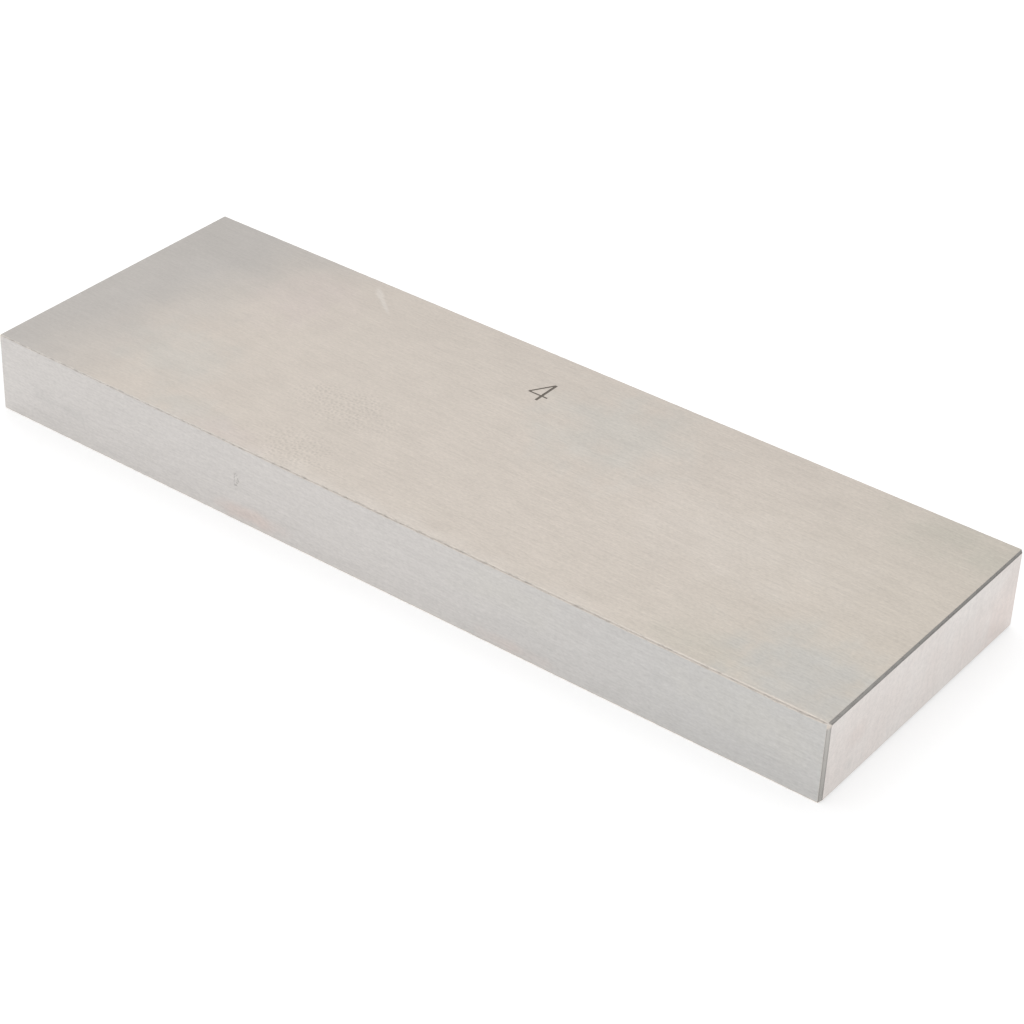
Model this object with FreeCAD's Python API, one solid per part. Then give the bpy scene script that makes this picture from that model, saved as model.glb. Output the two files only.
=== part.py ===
import FreeCAD, Part
import os

# Rectangular gauge block: one bar of hardened steel, ground all over.
#
# Frame: +X along the measured length, +Z up, origin in the middle of the lower side face.
# The two measuring faces are the small ends at -X and +X.
# Millimetres throughout.

INCH = 25.4

# Driving dimensions.
NOMINAL_LENGTH = 4 * INCH     # between the two measuring faces
SECTION_WIDTH = 34.7          # along Y: nominal 35 mm, made 0 to 0.3 mm under
SECTION_THICKNESS = 8.95      # along Z: nominal 9 mm, made 0.05 to 0.20 mm under
END_BEVEL = 0.3               # leg of the 45 degree bevel round each measuring face
LONG_EDGE_RADIUS = 0.15       # break of the four long edges
MITRE_RADIUS = 0.15           # break of the eight mitres where two bevels meet

HALF_LENGTH = NOMINAL_LENGTH / 2
HALF_WIDTH = SECTION_WIDTH / 2
HALF_THICKNESS = SECTION_THICKNESS / 2

# An edge that runs less than this along an axis is square to it.
SQUARE = 1e-4


def run_of(edge):
    """How far a straight edge runs along each axis."""
    first, last = edge.Vertexes
    run = last.Point - first.Point
    return [abs(run.x), abs(run.y), abs(run.z)]


def rounded_bar():
    """The full-length bar with its four long edges broken."""
    low_corner = FreeCAD.Vector(-HALF_LENGTH, -HALF_WIDTH, 0)
    bar = Part.makeBox(NOMINAL_LENGTH, SECTION_WIDTH, SECTION_THICKNESS, low_corner)
    long_edges = [edge for edge in bar.Edges if run_of(edge)[0] > SQUARE]
    return bar.makeFillet(LONG_EDGE_RADIUS, long_edges)


def bevelled_outline(half_across):
    """One quarter after another, the corners of a rectangle whose ends are bevelled.

    The rectangle is as long as the bar and twice half_across wide.
    """
    end, shoulder = HALF_LENGTH, HALF_LENGTH - END_BEVEL
    side, start_of_bevel = half_across, half_across - END_BEVEL
    return [
        (shoulder, side), (end, start_of_bevel),
        (end, -start_of_bevel), (shoulder, -side),
        (-shoulder, -side), (-end, -start_of_bevel),
        (-end, start_of_bevel), (-shoulder, side),
    ]


def slab(corners, thickness):
    """A flat slab: the outline through the corners, extruded."""
    outline = Part.makePolygon(corners + corners[:1])
    return Part.Face(outline).extrude(thickness)


def plan_slab():
    """The block as seen from above: bevels on the narrow side faces' ends."""
    corners = [FreeCAD.Vector(x, y, 0) for x, y in bevelled_outline(HALF_WIDTH)]
    return slab(corners, FreeCAD.Vector(0, 0, SECTION_THICKNESS))


def elevation_slab():
    """The block as seen from the side: bevels on the wide side faces' ends."""
    corners = [
        FreeCAD.Vector(x, -HALF_WIDTH, HALF_THICKNESS + z)
        for x, z in bevelled_outline(HALF_THICKNESS)
    ]
    return slab(corners, FreeCAD.Vector(0, SECTION_WIDTH, 0))


def is_mitre(edge):
    """True where two bevels meet: the only straight edges that run along all three axes."""
    is_straight = isinstance(edge.Curve, (Part.Line, Part.LineSegment))
    return is_straight and min(run_of(edge)) > SQUARE


def gauge_block():
    """What the rounded bar shares with its bevelled plan and elevation, mitres broken."""
    bevelled = rounded_bar().common(plan_slab()).common(elevation_slab())
    mitres = [edge for edge in bevelled.Edges if is_mitre(edge)]
    return bevelled.makeFillet(MITRE_RADIUS, mitres).Solids[0]


def main():
    block = gauge_block()
    os.makedirs("parts", exist_ok=True)
    block.exportStep("parts/gauge_block.step")
    box = block.optimalBoundingBox()
    print("size, mm:", round(box.XLength, 3), round(box.YLength, 3), round(box.ZLength, 3))
    print("volume, mm3:", round(block.Volume, 1), "faces:", len(block.Faces))


main()
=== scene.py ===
import math
import random

import bpy
import bmesh
from mathutils import Matrix, Vector


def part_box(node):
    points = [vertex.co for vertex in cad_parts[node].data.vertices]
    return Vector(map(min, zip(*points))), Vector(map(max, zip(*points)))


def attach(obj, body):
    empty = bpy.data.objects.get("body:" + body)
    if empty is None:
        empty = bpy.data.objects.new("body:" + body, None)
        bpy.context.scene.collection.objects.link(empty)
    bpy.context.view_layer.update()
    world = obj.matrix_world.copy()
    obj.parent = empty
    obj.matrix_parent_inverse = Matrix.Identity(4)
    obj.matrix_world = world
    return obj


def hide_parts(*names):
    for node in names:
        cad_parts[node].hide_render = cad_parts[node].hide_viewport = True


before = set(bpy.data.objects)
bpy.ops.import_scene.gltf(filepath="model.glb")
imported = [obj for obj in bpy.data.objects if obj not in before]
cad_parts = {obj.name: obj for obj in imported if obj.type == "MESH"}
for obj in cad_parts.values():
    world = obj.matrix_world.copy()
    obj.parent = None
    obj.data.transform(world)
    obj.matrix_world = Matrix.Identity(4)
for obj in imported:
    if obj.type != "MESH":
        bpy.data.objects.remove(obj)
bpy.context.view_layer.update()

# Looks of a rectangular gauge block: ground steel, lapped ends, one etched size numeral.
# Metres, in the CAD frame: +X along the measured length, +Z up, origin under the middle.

MM = 0.001
NODE = "gauge_block"
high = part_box(NODE)[1]
HALF_LENGTH = high.x
HALF_WIDTH = high.y
THICKNESS = high.z
HALF_THICKNESS = THICKNESS / 2

# The edges of the CAD solid.
END_BEVEL = 0.3 * MM
LONG_EDGE_RADIUS = 0.15 * MM
MITRE_RADIUS_AT_END = 0.106 * MM


# ---------------------------------------------------------------- camera

CAMERA_AZIMUTH = math.radians(35.86)     # from -Y towards +X
CAMERA_ELEVATION = math.radians(33.96)
CAMERA_ROLL = math.radians(2.54)
CAMERA_DISTANCE = 265.5 * MM
CAMERA_AIM = Vector((10.0 * MM, -9.04 * MM, THICKNESS))
CAMERA_LENS = 98.0


def add_camera():
    """The photo's view of the block."""
    back = Vector((
        math.sin(CAMERA_AZIMUTH) * math.cos(CAMERA_ELEVATION),
        -math.cos(CAMERA_AZIMUTH) * math.cos(CAMERA_ELEVATION),
        math.sin(CAMERA_ELEVATION),
    ))
    level = (-back).to_track_quat("-Z", "Y").to_matrix()
    data = bpy.data.cameras.new("camera")
    data.lens = CAMERA_LENS
    data.sensor_width = 36.0
    data.clip_start = 0.01
    data.clip_end = 20.0
    camera = bpy.data.objects.new("camera", data)
    camera.matrix_world = (
        Matrix.Translation(CAMERA_AIM + back * CAMERA_DISTANCE)
        @ (level @ Matrix.Rotation(CAMERA_ROLL, 3, "Z")).to_4x4()
    )
    bpy.context.scene.collection.objects.link(camera)
    bpy.context.scene.camera = camera


# ---------------------------------------------------------------- node helpers


class Nodes:
    """A material's node tree, with one short call for each kind of node that the finishes use."""

    def __init__(self, name):
        self.material = bpy.data.materials.new(name)
        self.material.use_nodes = True
        self.tree = self.material.node_tree
        self.tree.nodes.clear()
        self.output = self.tree.nodes.new("ShaderNodeOutputMaterial")

    def add(self, kind, **settings):
        made = self.tree.nodes.new(kind)
        for name, value in settings.items():
            setattr(made, name, value)
        return made

    def feed(self, socket, value):
        if isinstance(value, bpy.types.NodeSocket):
            self.tree.links.new(value, socket)
        else:
            socket.default_value = value

    def math(self, operation, a, b=0.0, clamp=False):
        made = self.add("ShaderNodeMath", operation=operation, use_clamp=clamp)
        self.feed(made.inputs[0], a)
        self.feed(made.inputs[1], b)
        return made.outputs[0]

    def scaled(self, vector, factors):
        made = self.add("ShaderNodeVectorMath", operation="MULTIPLY")
        self.feed(made.inputs[0], vector)
        self.feed(made.inputs[1], factors)
        return made.outputs[0]

    def millimetres(self):
        """The point on the piece, in millimetres in the row frame."""
        place = self.add("ShaderNodeTexCoord").outputs["Object"]
        return self.scaled(place, (1 / MM, 1 / MM, 1 / MM))

    def moved(self, vector, offset):
        made = self.add("ShaderNodeVectorMath", operation="ADD")
        self.feed(made.inputs[0], vector)
        self.feed(made.inputs[1], offset)
        return made.outputs[0]

    def axes(self, vector):
        """The outputs X, Y and Z of a vector."""
        made = self.add("ShaderNodeSeparateXYZ")
        self.feed(made.inputs[0], vector)
        return made.outputs

    def noise(self, vector, scale=1.0, detail=2.0, roughness=0.5, distortion=0.0):
        made = self.add("ShaderNodeTexNoise", noise_dimensions="3D")
        self.feed(made.inputs["Vector"], vector)
        self.feed(made.inputs["Scale"], scale)
        self.feed(made.inputs["Detail"], detail)
        self.feed(made.inputs["Roughness"], roughness)
        self.feed(made.inputs["Distortion"], distortion)
        return made.outputs["Fac"]

    def spread(self, value, from_low, from_high, to_low, to_high):
        made = self.add("ShaderNodeMapRange", interpolation_type="SMOOTHSTEP")
        for socket, number in zip(made.inputs, (value, from_low, from_high, to_low, to_high)):
            self.feed(socket, number)
        return made.outputs[0]

    def ramp(self, value, stops):
        """A colour ramp; stops are (position, (r, g, b))."""
        made = self.add("ShaderNodeValToRGB")
        self.feed(made.inputs[0], value)
        made.color_ramp.interpolation = "EASE"
        elements = made.color_ramp.elements
        while len(elements) < len(stops):
            elements.new(0.5)
        for element, (position, colour) in zip(elements, stops):
            element.position = position
            element.color = (*colour, 1.0)
        return made.outputs[0]

    def mix(self, factor, a, b, blend="MIX"):
        made = self.add("ShaderNodeMix", data_type="RGBA", blend_type=blend)
        self.feed(made.inputs[0], factor)
        for socket, value in ((made.inputs[6], a), (made.inputs[7], b)):
            self.feed(socket, (*value, 1.0) if isinstance(value, tuple) else value)
        return made.outputs[2]

    def patch(self, place, centre, radii, turn=0.0, ragged=0.6, grain=0.5, soft=0.6):
        """1 inside a soft-edged ellipsoid and 0 outside; lengths in millimetres.

        turn is in degrees about Z, ragged how uneven the rim is, grain how fine that is and
        soft how wide the rim is.
        """
        mapped = self.add("ShaderNodeMapping", vector_type="TEXTURE")
        self.feed(mapped.inputs["Vector"], place)
        mapped.inputs["Location"].default_value = centre
        mapped.inputs["Rotation"].default_value = (0.0, 0.0, math.radians(turn))
        mapped.inputs["Scale"].default_value = radii
        away = self.add("ShaderNodeVectorMath", operation="LENGTH")
        self.feed(away.inputs[0], mapped.outputs[0])
        rim = self.math("SUBTRACT", self.noise(place, scale=grain, detail=3.0), 0.5)
        away = self.math("ADD", away.outputs["Value"], self.math("MULTIPLY", rim, ragged * 2))
        return self.spread(away, 1.0 - soft, 1.0 + soft / 3, 1.0, 0.0)

    def dots(self, place, spacing, size):
        """1 in small round dots over X and Y and 0 between them; lengths in millimetres."""
        made = self.add("ShaderNodeTexVoronoi", voronoi_dimensions="2D", feature="F1")
        self.feed(made.inputs["Vector"], place)
        made.inputs["Scale"].default_value = 1 / spacing
        made.inputs["Randomness"].default_value = 0.8
        return self.spread(made.outputs["Distance"], 0.5 * size / spacing, size / spacing, 1.0, 0.0)

    def brighten(self, colour, factor):
        """The colour times a grey factor that is near 1."""
        made = self.add("ShaderNodeVectorMath", operation="SCALE")
        self.feed(made.inputs[0], colour)
        self.feed(made.inputs[3], factor)
        return made.outputs[0]

    def bump(self, height, depth):
        """depth is the height in metres that a height of 1 stands for."""
        made = self.add("ShaderNodeBump")
        made.inputs["Strength"].default_value = 1.0
        made.inputs["Distance"].default_value = depth
        self.feed(made.inputs["Height"], height)
        return made.outputs["Normal"]

    def steel(self, colour, roughness, normal, anisotropy=0.0):
        shader = self.add("ShaderNodeBsdfPrincipled")
        shader.inputs["Metallic"].default_value = 1.0
        shader.inputs["Anisotropic"].default_value = anisotropy
        self.feed(shader.inputs["Base Color"], colour)
        self.feed(shader.inputs["Roughness"], roughness)
        self.feed(shader.inputs["Normal"], normal)
        if anisotropy:
            tangent = self.add("ShaderNodeTangent", direction_type="RADIAL", axis="X")
            self.feed(shader.inputs["Tangent"], tangent.outputs[0])
        self.feed(self.output.inputs["Surface"], shader.outputs[0])
        return self.material


# ---------------------------------------------------------------- steel finishes

# Colours of the steel, as reflectance.
STEEL_COOL = (0.527, 0.498, 0.470)
STEEL_WARM = (0.645, 0.585, 0.525)
STEEL_STRAW = (0.625, 0.570, 0.505)
STEEL_GREY = (0.610, 0.585, 0.565)
STEEL_DULL = (0.550, 0.540, 0.527)
STEEL_PALE = (0.682, 0.642, 0.616)
STEEL_EDGE = (0.690, 0.650, 0.605)
STEEL_WORN = (0.685, 0.632, 0.575)
STEEL_BEVEL = (0.420, 0.405, 0.385)
STEEL_CORNER = (0.640, 0.580, 0.520)
STEEL_RUBBED = (0.740, 0.690, 0.640)
ETCHED_DARK = (0.230, 0.205, 0.178)

# Colours of faint stain tints where the faces have been touched, which are partly painted
# reflections, and of the scratch.
BLUE_STAIN_AND_REFLECTION = (0.590, 0.572, 0.532)
ROSE_STAIN_AND_REFLECTION = (0.635, 0.560, 0.525)
OLIVE_STAIN_AND_REFLECTION = (0.560, 0.530, 0.465)
DARK_STAIN_AND_REFLECTION = (0.530, 0.515, 0.500)
SCRATCH_DARK = (0.250, 0.235, 0.220)

GROUND_ANISOTROPY = 0.4

# Relief that the bumps stand for.
LINE_DEPTH = 0.001 * MM         # ground lines and lapped streaks
DRAG_DEPTH = 0.002 * MM         # on the bevels
WEAR_DEPTH = 0.003 * MM         # on the long edges
GRAIN_DEPTH = 0.004 * MM        # in the numeral

# The faces that carry marks, in millimetres, as the places below are.
MARKED_Z = THICKNESS / MM
FRONT_Y = -HALF_WIDTH / MM
END_X = HALF_LENGTH / MM

# Stain tints that are partly painted reflections: centre, radii, tint and strength.
WIDE_FACE_STAINS_AND_REFLECTIONS = (
    ((-34.0, -8.5, MARKED_Z), (7.0, 6.0, 3.0), BLUE_STAIN_AND_REFLECTION, 0.50),
    ((-26.0, -15.5, MARKED_Z), (5.0, 2.6, 3.0), BLUE_STAIN_AND_REFLECTION, 0.50),
    ((-20.0, -16.5, MARKED_Z), (6.0, 2.2, 3.0), ROSE_STAIN_AND_REFLECTION, 0.50),
    ((-31.0, 9.0, MARKED_Z), (6.0, 7.0, 3.0), ROSE_STAIN_AND_REFLECTION, 0.50),
    ((-38.0, 0.5, MARKED_Z), (5.0, 4.5, 3.0), STEEL_COOL, 0.30),
    ((9.5, 8.5, MARKED_Z), (9.0, 9.0, 3.0), BLUE_STAIN_AND_REFLECTION, 0.60),
    ((29.0, 0.0, MARKED_Z), (15.0, 6.5, 3.0), STEEL_RUBBED, 0.20),
    ((-2.0, -17.4, MARKED_Z), (28.0, 2.0, 3.0), STEEL_RUBBED, 0.30),
    ((37.0, -15.0, MARKED_Z), (8.0, 4.0, 3.0), OLIVE_STAIN_AND_REFLECTION, 0.50),
    ((45.5, -12.5, MARKED_Z), (9.0, 7.0, 3.0), BLUE_STAIN_AND_REFLECTION, 0.90),
    ((45.5, -14.0, MARKED_Z), (8.0, 5.0, 3.0), DARK_STAIN_AND_REFLECTION, 0.38),
    ((47.0, 14.5, MARKED_Z), (10.0, 5.0, 3.0), OLIVE_STAIN_AND_REFLECTION, 0.70),
)
NARROW_FACE_STAINS_AND_REFLECTIONS = (
    ((-44.2, FRONT_Y, 3.7), (2.0, 3.0, 0.9), DARK_STAIN_AND_REFLECTION, 0.40),
    ((-40.5, FRONT_Y, 3.4), (1.6, 3.0, 0.8), DARK_STAIN_AND_REFLECTION, 0.40),
    ((-16.0, FRONT_Y, 1.2), (5.0, 3.0, 1.1), ROSE_STAIN_AND_REFLECTION, 0.90),
    ((16.5, FRONT_Y, 0.8), (4.0, 3.0, 0.9), ROSE_STAIN_AND_REFLECTION, 0.55),
    ((16.0, FRONT_Y, 6.5), (8.0, 3.0, 2.5), BLUE_STAIN_AND_REFLECTION, 0.35),
    ((44.0, FRONT_Y, 6.0), (10.0, 3.0, 3.5), BLUE_STAIN_AND_REFLECTION, 0.35),
)
MEASURING_FACE_STAINS_AND_REFLECTIONS = (
    ((END_X, -12.0, 4.6), (2.0, 1.8, 1.6), ROSE_STAIN_AND_REFLECTION, 0.50),
    ((END_X, -13.1, 2.0), (2.0, 0.8, 0.9), DARK_STAIN_AND_REFLECTION, 0.30),
    ((END_X, 16.0, 4.0), (2.0, 7.0, 9.0), ROSE_STAIN_AND_REFLECTION, 0.90),
    ((END_X, 13.5, 7.5), (2.0, 9.0, 3.0), DARK_STAIN_AND_REFLECTION, 0.32),
)

# Marks: centre, radii, and degrees turned about Z.
RUB_MARKS = (
    ((-26.1, 15.0, MARKED_Z), (1.6, 0.45, 1.0), -41.0),
    ((-24.6, 13.8, MARKED_Z), (2.6, 0.30, 1.0), -38.0),
)
DIMPLED_PATCHES = (
    ((-14.0, -5.0, MARKED_Z), (8.0, 4.5, 3.0), 0.0),
    ((-13.0, -13.8, MARKED_Z), (6.5, 4.0, 3.0), 0.0),
)
SCRATCH = ((-17.78, FRONT_Y, 4.9), (0.36, 1.0, 1.35))
WORN_CORNER = ((END_X - 0.2, FRONT_Y, MARKED_Z - 0.25), (0.40, 0.40, 0.50))

# The dimples get painted shade and a painted highlight on one side.
DIMPLE_SPACING = 0.48
DIMPLE_SIZE = 0.20
DIMPLE_LIT_SIDE = (0.10, 0.20, 0.0)


def ground_lines(nodes, place):
    """Fine lines left by grinding lengthwise, with a short grain in them. Mean 0.5."""
    grain = nodes.noise(nodes.scaled(place, (0.5, 1.0, 1.0)), scale=4.8, detail=2.0, roughness=0.6)
    stretched = nodes.scaled(place, (0.08, 1.0, 1.0))
    fine = nodes.noise(stretched, scale=5.0, detail=2.0, roughness=0.6)
    broad = nodes.noise(stretched, scale=1.8, detail=2.0, roughness=0.5)
    lines = nodes.math("ADD", nodes.math("MULTIPLY", fine, 0.7), nodes.math("MULTIPLY", broad, 0.3))
    return nodes.math("ADD", nodes.math("MULTIPLY", grain, 0.5), nodes.math("MULTIPLY", lines, 0.5))


def lined(nodes, colour, lines, strength):
    """The colour, brighter and darker along the ground lines."""
    varied = nodes.math("MULTIPLY", nodes.math("SUBTRACT", lines, 0.5), strength)
    return nodes.brighten(colour, nodes.math("ADD", varied, 1.0))


def along_block(nodes, place, wander, slant=0.0):
    """0 at the -X end and 1 at the +X end.

    Its contours wander by so many millimetres and slant by so much of a turn to Y.
    """
    axes = nodes.axes(place)
    cloud = nodes.noise(place, scale=0.07, detail=3.0, roughness=0.55)
    offset = nodes.math("MULTIPLY", nodes.math("SUBTRACT", cloud, 0.5), 2 * wander)
    offset = nodes.math("ADD", offset, nodes.math("MULTIPLY", axes["Y"], -slant))
    from_end = nodes.math("ADD", nodes.math("ADD", axes["X"], offset), END_X)
    return nodes.math("DIVIDE", from_end, 2 * END_X, clamp=True)


def with_stains_and_reflections(nodes, place, colour, stains_and_reflections):
    """The colour under faint stain tints that are partly painted reflections; each is (centre,
    radii, tint, strength).
    """
    for centre, radii, tint, strength in stains_and_reflections:
        inside = nodes.patch(place, centre, radii, ragged=1.0, grain=0.35, soft=1.0)
        colour = nodes.mix(nodes.math("MULTIPLY", inside, strength), colour, tint)
    return colour


def patches(nodes, place, marks, **rim):
    """1 inside any of the marks and 0 outside them all."""
    inside = 0.0
    for centre, radii, turn in marks:
        mark = nodes.patch(place, centre, radii, turn=turn, **rim)
        inside = nodes.math("MAXIMUM", inside, mark)
    return inside


def dimpled(nodes, place, colour):
    """The colour with patches of fine dimples, each with painted shade and a painted lit side, and
    1 in the dimples.
    """
    inside = patches(nodes, place, DIMPLED_PATCHES, soft=0.9)
    beside = nodes.moved(place, DIMPLE_LIT_SIDE)
    dark = nodes.math("MULTIPLY", nodes.dots(place, DIMPLE_SPACING, DIMPLE_SIZE), inside)
    lit = nodes.math("MULTIPLY", nodes.dots(beside, DIMPLE_SPACING, DIMPLE_SIZE), inside)
    # Painted shade in each dimple, then a painted highlight on its lit side.
    colour = nodes.brighten(colour, nodes.spread(dark, 0.0, 1.0, 1.0, 0.915))
    colour = nodes.brighten(colour, nodes.spread(lit, 0.0, 1.0, 1.0, 1.05))
    return colour, dark


def scratched(nodes, place):
    """1 in the specks of a small scratch on the -Y side."""
    inside = nodes.patch(place, *SCRATCH, ragged=0.9, grain=2.5)
    specks = nodes.spread(nodes.noise(place, scale=5.5, detail=2.0), 0.48, 0.60, 0.0, 1.0)
    return nodes.math("MULTIPLY", inside, specks)


def worn_corner(nodes, place):
    """1 at the handled upper corner of the -Y side's +X end."""
    return nodes.patch(place, *WORN_CORNER, ragged=0.2, grain=3.0)


def wide_face_steel():
    """The two wide side faces: ground lengthwise, warm, and cooler at one end, in colour zones that
    are partly painted reflections.
    """
    nodes = Nodes("steel_wide_faces")
    place = nodes.millimetres()
    axes = nodes.axes(place)
    lines = ground_lines(nodes, place)
    # The cool, warm and straw zones along the block are partly the steel's tone and partly painted
    # reflections.
    colour = nodes.ramp(along_block(nodes, place, 8.0, slant=0.25), [
        (0.00, STEEL_COOL), (0.04, STEEL_COOL), (0.20, STEEL_WARM),
        (0.70, STEEL_WARM), (1.00, STEEL_STRAW),
    ])
    # The stain tints here are partly painted reflections.
    colour = with_stains_and_reflections(nodes, place, colour, WIDE_FACE_STAINS_AND_REFLECTIONS)
    rubbed = patches(nodes, place, RUB_MARKS, ragged=0.2, grain=1.5)
    colour = nodes.mix(nodes.math("MULTIPLY", rubbed, 0.6), colour, STEEL_RUBBED)
    colour, dimples = dimpled(nodes, place, colour)
    colour = nodes.brighten(colour, nodes.spread(axes["Y"], 5.0, 16.0, 1.006, 0.97))
    cloud = nodes.noise(place, scale=0.22, detail=3.0, roughness=0.6)
    colour = nodes.brighten(colour, nodes.spread(cloud, 0.3, 0.7, 0.98, 1.02))
    colour = lined(nodes, colour, lines, nodes.spread(axes["X"], -50.0, 20.0, 0.42, 0.62))
    roughness = nodes.spread(lines, 0.2, 0.8, 0.27, 0.36)
    relief = nodes.math("SUBTRACT", lines, nodes.math("MULTIPLY", dimples, 0.5))
    return nodes.steel(colour, roughness, nodes.bump(relief, LINE_DEPTH), GROUND_ANISOTROPY)


def narrow_face_steel():
    """The two narrow side faces: the same grinding, greyer, duller towards one end."""
    nodes = Nodes("steel_narrow_faces")
    place = nodes.millimetres()
    lines = ground_lines(nodes, place)
    colour = nodes.ramp(along_block(nodes, place, 6.0), [
        (0.0, STEEL_GREY), (0.45, STEEL_GREY), (1.0, STEEL_DULL),
    ])
    # The stain tints here are partly painted reflections.
    colour = with_stains_and_reflections(nodes, place, colour, NARROW_FACE_STAINS_AND_REFLECTIONS)
    scratch = scratched(nodes, place)
    colour = nodes.mix(nodes.math("MULTIPLY", scratch, 0.6), colour, SCRATCH_DARK)
    colour = lined(nodes, colour, lines, 0.60)
    roughness = nodes.spread(lines, 0.2, 0.8, 0.27, 0.35)
    relief = nodes.math("SUBTRACT", lines, scratch)
    return nodes.steel(colour, roughness, nodes.bump(relief, LINE_DEPTH), GROUND_ANISOTROPY)


def measuring_face_steel():
    """The two ends: lapped, paler, with faint streaks across the thickness."""
    nodes = Nodes("steel_measuring_faces")
    place = nodes.millimetres()
    streaks = nodes.noise(nodes.scaled(place, (1.0, 1.0, 0.15)), scale=1.6, detail=3.0)
    cloud = nodes.noise(place, scale=0.18, detail=2.0)
    mottle = nodes.noise(place, scale=2.2, detail=2.0)
    # The rose tint and the stain tints here are partly painted reflections.
    colour = nodes.mix(nodes.spread(cloud, 0.35, 0.65, 0.0, 0.25), STEEL_PALE, ROSE_STAIN_AND_REFLECTION)
    colour = with_stains_and_reflections(nodes, place, colour, MEASURING_FACE_STAINS_AND_REFLECTIONS)
    colour = nodes.brighten(colour, nodes.spread(streaks, 0.3, 0.7, 0.975, 1.025))
    colour = nodes.brighten(colour, nodes.spread(mottle, 0.3, 0.7, 0.97, 1.03))
    roughness = nodes.spread(streaks, 0.3, 0.7, 0.16, 0.24)
    return nodes.steel(colour, roughness, nodes.bump(streaks, LINE_DEPTH))


def bevel_steel():
    """The bevels round the measuring faces: darker than the faces, dragged along their length, with
    painted shade along their two creases, towards +Y and towards the bottom.
    """
    nodes = Nodes("steel_bevels")
    place = nodes.millimetres()
    drag = nodes.noise(nodes.scaled(place, (3.0, 0.4, 0.4)), scale=2.5, detail=3.0)
    axes = nodes.axes(place)
    middle = END_X - END_BEVEL / MM / 2
    from_middle = nodes.math("SUBTRACT", nodes.math("ABSOLUTE", axes["X"]), middle)
    from_middle = nodes.math("ABSOLUTE", from_middle)
    # Painted shade: darker along the bevel's two creases, lighter towards -Y and darker towards +Y,
    # and darker towards the bottom.
    colour = nodes.brighten(STEEL_BEVEL, nodes.spread(from_middle, 0.05, 0.12, 1.0, 0.80))
    colour = nodes.brighten(colour, nodes.spread(axes["Y"], -17.0, 8.0, 1.07, 0.88))
    colour = nodes.brighten(colour, nodes.spread(axes["Z"], 0.5, 8.5, 0.86, 1.04))
    colour = nodes.brighten(colour, nodes.spread(drag, 0.3, 0.7, 0.95, 1.05))
    colour = nodes.mix(worn_corner(nodes, place), colour, STEEL_CORNER)
    roughness = nodes.spread(drag, 0.3, 0.7, 0.25, 0.38)
    return nodes.steel(colour, roughness, nodes.bump(drag, DRAG_DEPTH))


def broken_edge_steel():
    """The rounds along the long edges: handled, nicked, and duller towards one end."""
    nodes = Nodes("steel_broken_edges")
    place = nodes.millimetres()
    wear = nodes.noise(nodes.scaled(place, (0.8, 3.0, 3.0)), scale=1.5, detail=4.0, roughness=0.65)
    colour = nodes.ramp(along_block(nodes, place, 12.0), [
        (0.0, STEEL_EDGE), (0.2, STEEL_EDGE), (0.5, STEEL_WORN), (1.0, STEEL_WORN),
    ])
    colour = nodes.brighten(colour, nodes.spread(wear, 0.36, 0.56, 0.78, 1.08))
    colour = nodes.mix(worn_corner(nodes, place), colour, STEEL_RUBBED)
    roughness = nodes.spread(wear, 0.3, 0.7, 0.42, 0.56)
    return nodes.steel(colour, roughness, nodes.bump(wear, WEAR_DEPTH))


def etched_steel():
    """The etched numeral: dark, matt and fine-grained."""
    nodes = Nodes("steel_etched")
    place = nodes.millimetres()
    grain = nodes.noise(place, scale=14.0, detail=3.0, roughness=0.6)
    colour = nodes.brighten(ETCHED_DARK, nodes.spread(grain, 0.3, 0.7, 0.75, 1.3))
    roughness = nodes.spread(grain, 0.3, 0.7, 0.5, 0.7)
    return nodes.steel(colour, roughness, nodes.bump(grain, GRAIN_DEPTH))


# ---------------------------------------------------------------- the block's mesh

ARC_STEPS = 7                   # segments round each rounded long edge
CREASE_STEPS = 4                # segments round each edge of a bevel
CREASE_RADIUS = 0.05 * MM       # of the two edges of a bevel
CREASE_TANGENT = CREASE_RADIUS * math.tan(math.pi / 8)
BEVEL_START = HALF_LENGTH - END_BEVEL - CREASE_TANGENT
STATION_STEP = 0.2 * MM         # between sections along the block
NICKS_PER_EDGE = 40
NICK_LENGTHS = (0.10, 0.45)     # shortest and longest, in millimetres
WAVES_PER_EDGE = 6
WAVE_LENGTHS = (1, 12)          # in millimetres
WAVE_SHARE = 0.08               # of the deepest nick
WIDE, NARROW, END, BEVEL, EDGE, ETCHED = range(6)

# The four long edges, counter-clockwise seen from +X: seed, deepest nick, and how much wider
# than the CAD's round the edge was stoned at the -X and the +X end.
LONG_EDGES = (
    (11, 0.04 * MM, 0.00 * MM, 0.02 * MM),
    (12, 0.07 * MM, -0.03 * MM, 0.10 * MM),
    (13, 0.02 * MM, 0.00 * MM, 0.00 * MM),
    (14, 0.02 * MM, 0.00 * MM, 0.00 * MM),
)

# How wide the +X end's bevels are, as shares of the CAD's, where the round of each long edge
# starts and ends. The upper one is the narrowest, and tapers towards +Y.
BEVEL_SHARES = ((1.0, 0.72), (0.88, 1.0), (1.0, 1.0), (1.0, 1.0))


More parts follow.
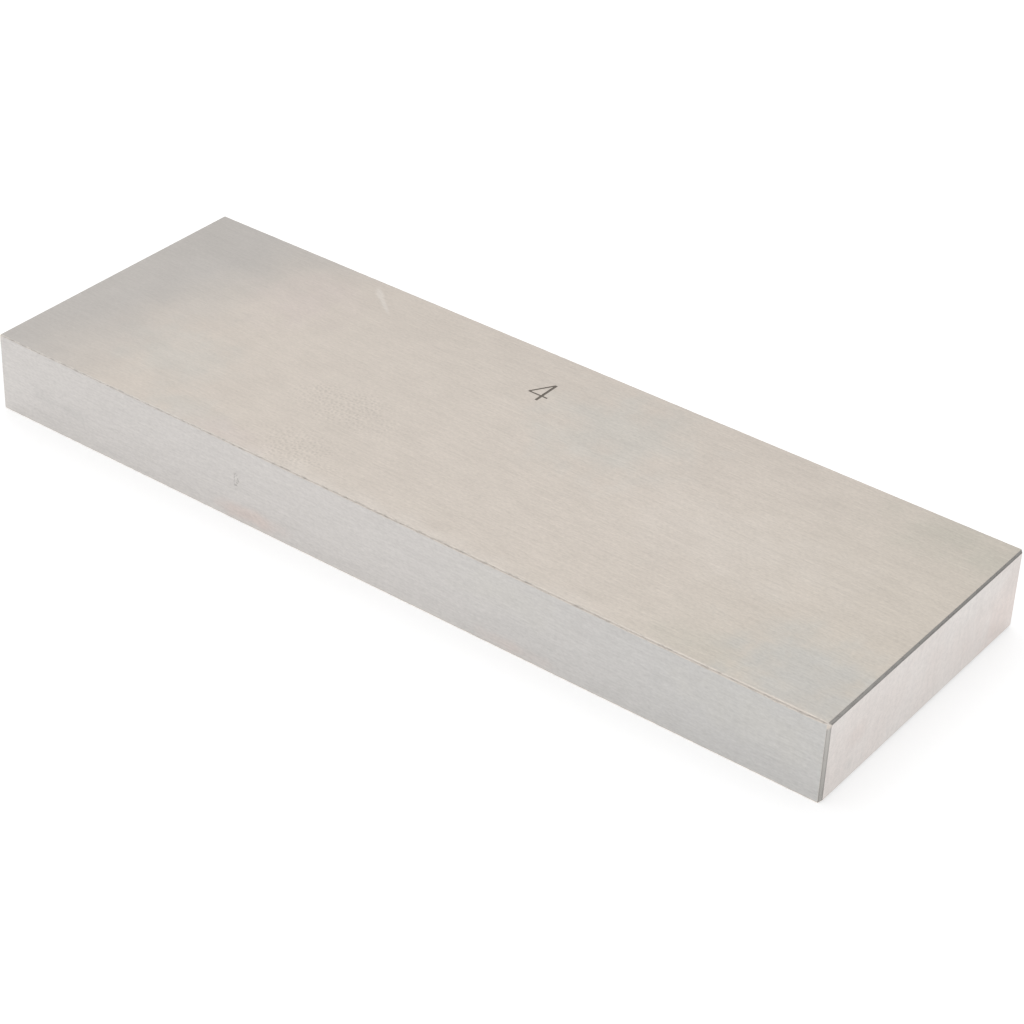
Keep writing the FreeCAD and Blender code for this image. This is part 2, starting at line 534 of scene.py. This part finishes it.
def edge_wear(seed, deepest, at_start, at_end):
    """A function of x: how much the round of one long edge is widened by nicks and handling."""
    draw = random.Random(seed)
    nicks = []
    for _ in range(NICKS_PER_EDGE):
        share = draw.random()
        at = (2 * share - 1) * HALF_LENGTH
        long = draw.uniform(*NICK_LENGTHS) * MM
        deep = draw.uniform(0.2, 1.0) * deepest * (0.3 + 0.7 * share)
        nicks.append((at, long, deep))
    waves = []
    for _ in range(WAVES_PER_EDGE):
        waves.append((draw.uniform(*WAVE_LENGTHS) * MM, draw.uniform(0, math.tau)))

    def widened_by(x):
        nicked = sum(deep * math.exp(-(((x - at) / long) ** 2)) for at, long, deep in nicks)
        waved = sum(math.sin(math.tau * x / length + phase) for length, phase in waves)
        stoned = at_start + (at_end - at_start) * (x / HALF_LENGTH + 1) / 2
        from_end = (HALF_LENGTH - END_BEVEL - abs(x)) / MM
        fading = min(1.0, max(0.0, from_end))
        return fading * (nicked + stoned + WAVE_SHARE * deepest * waved)

    return widened_by


def section_points(x, inset, wear):
    """Points round the section at x, counter-clockwise seen from +X.

    inset is how far the CAD's bevel moves all four sides in there; wear is how much wider the
    rounds of the four long edges are.
    """
    points = []
    for corner, widened_by in enumerate(wear):
        start = corner * math.pi / 2
        towards_y = math.copysign(1, math.cos(start + math.pi / 4))
        towards_z = math.copysign(1, math.sin(start + math.pi / 4))
        first, last = BEVEL_SHARES[corner] if x > BEVEL_START else (1.0, 1.0)
        for step in range(ARC_STEPS + 1):
            angle = start + step / ARC_STEPS * math.pi / 2
            share = first + (last - first) * step / ARC_STEPS
            in_by = inset * share
            radius = LONG_EDGE_RADIUS + widened_by(x)
            radius += (MITRE_RADIUS_AT_END - LONG_EDGE_RADIUS) * in_by / END_BEVEL
            points.append((
                HALF_LENGTH - (HALF_LENGTH - x) * share,
                towards_y * (HALF_WIDTH - in_by - radius) + radius * math.cos(angle),
                towards_z * (HALF_THICKNESS - in_by - radius) + radius * math.sin(angle)
                + HALF_THICKNESS,
            ))
    return points


def bevel_profile():
    """(x, inset) from where the first edge of the +X bevel starts to the flat of the end."""
    flat = END_BEVEL + CREASE_TANGENT
    outer = []
    inner = []
    for step in range(CREASE_STEPS + 1):
        angle = step / CREASE_STEPS * math.pi / 4
        along = CREASE_RADIUS * math.sin(angle)
        drop = CREASE_RADIUS * (1 - math.cos(angle))
        outer.append((BEVEL_START + along, drop))
        inner.append((HALF_LENGTH - drop, flat - along))
    return outer + inner[::-1]


def stations():
    """(x, inset) of each section from end to end."""
    bevel = bevel_profile()
    count = round(2 * BEVEL_START / STATION_STEP)
    between = [((2 * i / count - 1) * BEVEL_START, 0.0) for i in range(1, count)]
    return [(-x, inset) for x, inset in reversed(bevel)] + between + bevel


def finish_of(face):
    """The finish slot of a face of the plain block, told by where it looks."""
    x, y, z = (abs(component) for component in face.normal)
    flat = 0.9999
    if x > flat:
        return END
    if z > flat:
        return WIDE
    if y > flat:
        return NARROW
    rounds_a_corner = min(y, z) > 0.2
    return BEVEL if x > 0.35 and not rounds_a_corner else EDGE


def plain_block():
    """The block with its bevels and worn long edges, before the numeral is cut."""
    wear = [edge_wear(*settings) for settings in LONG_EDGES]
    mesh = bmesh.new()
    rings = []
    for x, inset in stations():
        rings.append([mesh.verts.new(point) for point in section_points(x, inset, wear)])
    around = len(rings[0])
    for near, far in zip(rings, rings[1:]):
        for j in range(around):
            k = (j + 1) % around
            mesh.faces.new((near[j], near[k], far[k], far[j]))
    mesh.faces.new(reversed(rings[0]))
    mesh.faces.new(rings[-1])
    mesh.normal_update()
    for face in mesh.faces:
        face.material_index = finish_of(face)
    data = bpy.data.meshes.new("ground_block")
    mesh.to_mesh(data)
    mesh.free()
    block = bpy.data.objects.new("ground_block", data)
    bpy.context.scene.collection.objects.link(block)
    return block


# ---------------------------------------------------------------- the numeral

NUMERAL_DEPTH = 0.03 * MM
NUMERAL_HEIGHT = 3.6 * MM
NUMERAL_WIDTH = 2.35 * MM
NUMERAL_PLACE = Vector((-2.11 * MM, 8.67 * MM, THICKNESS))   # lower left corner of its box
STEM = 0.29 * MM
HAIRLINE = 0.19 * MM


def numeral_outlines():
    """The outer and inner outline of a plain 4, from its lower left corner."""
    right_of_stem = 0.76 * NUMERAL_WIDTH
    left_of_stem = right_of_stem - STEM
    bar = 0.25 * NUMERAL_HEIGHT
    top_of_bar = bar + HAIRLINE
    slope = (NUMERAL_HEIGHT - top_of_bar) / left_of_stem
    inner_left = 1.25 * HAIRLINE
    inner_top = top_of_bar + slope * (left_of_stem - inner_left)
    outer = [
        (left_of_stem, 0), (right_of_stem, 0), (right_of_stem, bar), (NUMERAL_WIDTH, bar),
        (NUMERAL_WIDTH, top_of_bar), (right_of_stem, top_of_bar),
        (right_of_stem, NUMERAL_HEIGHT), (left_of_stem, NUMERAL_HEIGHT),
        (0, top_of_bar), (0, bar), (left_of_stem, bar),
    ]
    inner = [(inner_left, top_of_bar), (left_of_stem, top_of_bar), (left_of_stem, inner_top)]
    return outer, inner


def numeral_cutter(finish):
    """A prism of the numeral that stands half in and half out of the marked face."""
    curve = bpy.data.curves.new("numeral", "CURVE")
    curve.dimensions = "2D"
    curve.fill_mode = "BOTH"
    curve.extrude = NUMERAL_DEPTH
    for outline in numeral_outlines():
        spline = curve.splines.new("POLY")
        spline.points.add(len(outline) - 1)
        for point, (x, y) in zip(spline.points, outline):
            point.co = (x, y, 0, 1)
        spline.use_cyclic_u = True
    maker = bpy.data.objects.new("numeral", curve)
    bpy.context.scene.collection.objects.link(maker)
    mesh = bmesh.new()
    mesh.from_mesh(bpy.data.meshes.new_from_object(maker))
    bpy.data.objects.remove(maker)
    bmesh.ops.remove_doubles(mesh, verts=mesh.verts, dist=1e-7)
    bmesh.ops.translate(mesh, verts=mesh.verts, vec=NUMERAL_PLACE)
    bmesh.ops.recalc_face_normals(mesh, faces=mesh.faces)
    data = bpy.data.meshes.new("cutter")
    mesh.to_mesh(data)
    mesh.free()
    data.materials.append(finish)
    cutter = bpy.data.objects.new("cutter", data)
    bpy.context.scene.collection.objects.link(cutter)
    return cutter


def etch_numeral(block, finish):
    """Sinks the numeral into the marked face and gives its floor and walls their finish."""
    cutter = numeral_cutter(finish)
    cut = block.modifiers.new("numeral", "BOOLEAN")
    cut.operation = "DIFFERENCE"
    cut.solver = "EXACT"
    cut.material_mode = "TRANSFER"
    cut.object = cutter
    apply_modifiers(block)
    bpy.data.objects.remove(cutter)


def apply_modifiers(piece):
    bpy.context.view_layer.update()
    evaluated = piece.evaluated_get(bpy.context.evaluated_depsgraph_get())
    baked = bpy.data.meshes.new_from_object(evaluated)
    piece.modifiers.clear()
    piece.data = baked


def shade(piece):
    """Smooth rounds, crisp creases, and flat faces that stay flat."""
    crease = math.radians(25)
    mesh = bmesh.new()
    mesh.from_mesh(piece.data)
    for face in mesh.faces:
        face.smooth = True
    for edge in mesh.edges:
        edge.smooth = edge.calc_face_angle(math.pi) < crease
    mesh.to_mesh(piece.data)
    mesh.free()
    weighted = piece.modifiers.new("normals", "WEIGHTED_NORMAL")
    weighted.weight = 100
    weighted.keep_sharp = True
    apply_modifiers(piece)


def add_block():
    """The dressed block, in place of the CAD solid."""
    finishes = [
        wide_face_steel(), narrow_face_steel(), measuring_face_steel(),
        bevel_steel(), broken_edge_steel(), etched_steel(),
    ]
    block = plain_block()
    for finish in finishes:
        block.data.materials.append(finish)
    etch_numeral(block, finishes[ETCHED])
    shade(block)
    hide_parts(NODE)
    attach(block, "root")


# ---------------------------------------------------------------- the studio

FLOOR_RADIUS = 1.1
INNER_RADIUS = 0.3              # of the ring of faces round the middle
COVE_RADIUS = 0.20
COVE_STEPS = 12
ROUND_STEPS = 96
WALL_HEIGHT = 0.26

# A colour looks about as it is written under this glow, the world and the softboxes together.
CARD_GREY = (0.65, 0.65, 0.65, 1.0)
CARD_GLOW = 0.58
WORLD_WHITE = (1.0, 1.0, 1.0, 1.0)
WORLD_STRENGTH = 0.6

# Name, azimuth from -Y towards +X and elevation in degrees, distance, size, and radiance: what
# the lamp's face adds to what is seen behind it, where 1 is white.
SOFTBOXES = (
    ("back_left_softbox", 215, 42, 1.2, 1.1, 0.3),
    ("overhead_softbox", 270, 72, 1.3, 1.0, 0.7),
    ("front_softbox", 60, 36, 1.2, 0.5, 0.5),
)


def studio_white():
    """White card that keeps soft shadows, and that eye, metal and glass see as white."""
    nodes = Nodes("studio_white")
    card = nodes.add("ShaderNodeBsdfDiffuse")
    card.inputs["Color"].default_value = CARD_GREY
    glow = nodes.add("ShaderNodeEmission")
    path = nodes.add("ShaderNodeLightPath").outputs
    seen = nodes.math("MAXIMUM", path["Is Camera Ray"], path["Is Glossy Ray"])
    seen = nodes.math("MAXIMUM", seen, path["Is Transmission Ray"])
    nodes.feed(glow.inputs["Strength"], nodes.math("MULTIPLY", seen, CARD_GLOW))
    both = nodes.add("ShaderNodeAddShader")
    nodes.feed(both.inputs[0], card.outputs[0])
    nodes.feed(both.inputs[1], glow.outputs[0])
    nodes.feed(nodes.output.inputs["Surface"], both.outputs[0])
    return nodes.material


def add_cyclorama():
    """A round floor that curves up into a low wall, with no seam."""
    profile = [(0.0, 0.0), (INNER_RADIUS, 0.0), (FLOOR_RADIUS - COVE_RADIUS, 0.0)]
    for step in range(1, COVE_STEPS + 1):
        angle = step / COVE_STEPS * math.pi / 2
        profile.append((
            FLOOR_RADIUS - COVE_RADIUS + COVE_RADIUS * math.sin(angle),
            COVE_RADIUS * (1 - math.cos(angle)),
        ))
    profile.append((FLOOR_RADIUS, WALL_HEIGHT))
    mesh = bmesh.new()
    points = [mesh.verts.new((radius, 0, height)) for radius, height in profile]
    lines = [mesh.edges.new(pair) for pair in zip(points, points[1:])]
    bmesh.ops.spin(
        mesh, geom=points + lines, axis=(0, 0, 1), cent=(0, 0, 0),
        angle=math.tau, steps=ROUND_STEPS, use_merge=True,
    )
    bmesh.ops.remove_doubles(mesh, verts=mesh.verts, dist=1e-5)
    for face in mesh.faces:
        face.smooth = True
    bmesh.ops.recalc_face_normals(mesh, faces=mesh.faces)
    data = bpy.data.meshes.new("cyclorama")
    mesh.to_mesh(data)
    mesh.free()
    data.materials.append(studio_white())
    cyclorama = bpy.data.objects.new("cyclorama", data)
    bpy.context.scene.collection.objects.link(cyclorama)


def add_softbox(name, azimuth, elevation, distance, size, radiance):
    """A square lamp that looks at the block."""
    turned = math.radians(azimuth)
    raised = math.radians(elevation)
    towards = Vector((
        math.sin(turned) * math.cos(raised),
        -math.cos(turned) * math.cos(raised),
        math.sin(raised),
    ))
    data = bpy.data.lights.new(name, "AREA")
    data.shape = "SQUARE"
    data.size = size
    data.energy = radiance * 4 * size ** 2
    lamp = bpy.data.objects.new(name, data)
    lamp.location = towards * distance
    lamp.rotation_euler = (-towards).to_track_quat("-Z", "Y").to_euler()
    bpy.context.scene.collection.objects.link(lamp)


def add_studio():
    """A white cyclorama, three softboxes and an even white world."""
    add_cyclorama()
    for softbox in SOFTBOXES:
        add_softbox(*softbox)
    world = bpy.data.worlds.new("studio")
    world.use_nodes = True
    background = world.node_tree.nodes["Background"]
    background.inputs["Color"].default_value = WORLD_WHITE
    background.inputs["Strength"].default_value = WORLD_STRENGTH
    bpy.context.scene.world = world


bpy.context.scene.view_settings.view_transform = "Standard"
add_camera()
add_block()
add_studio()
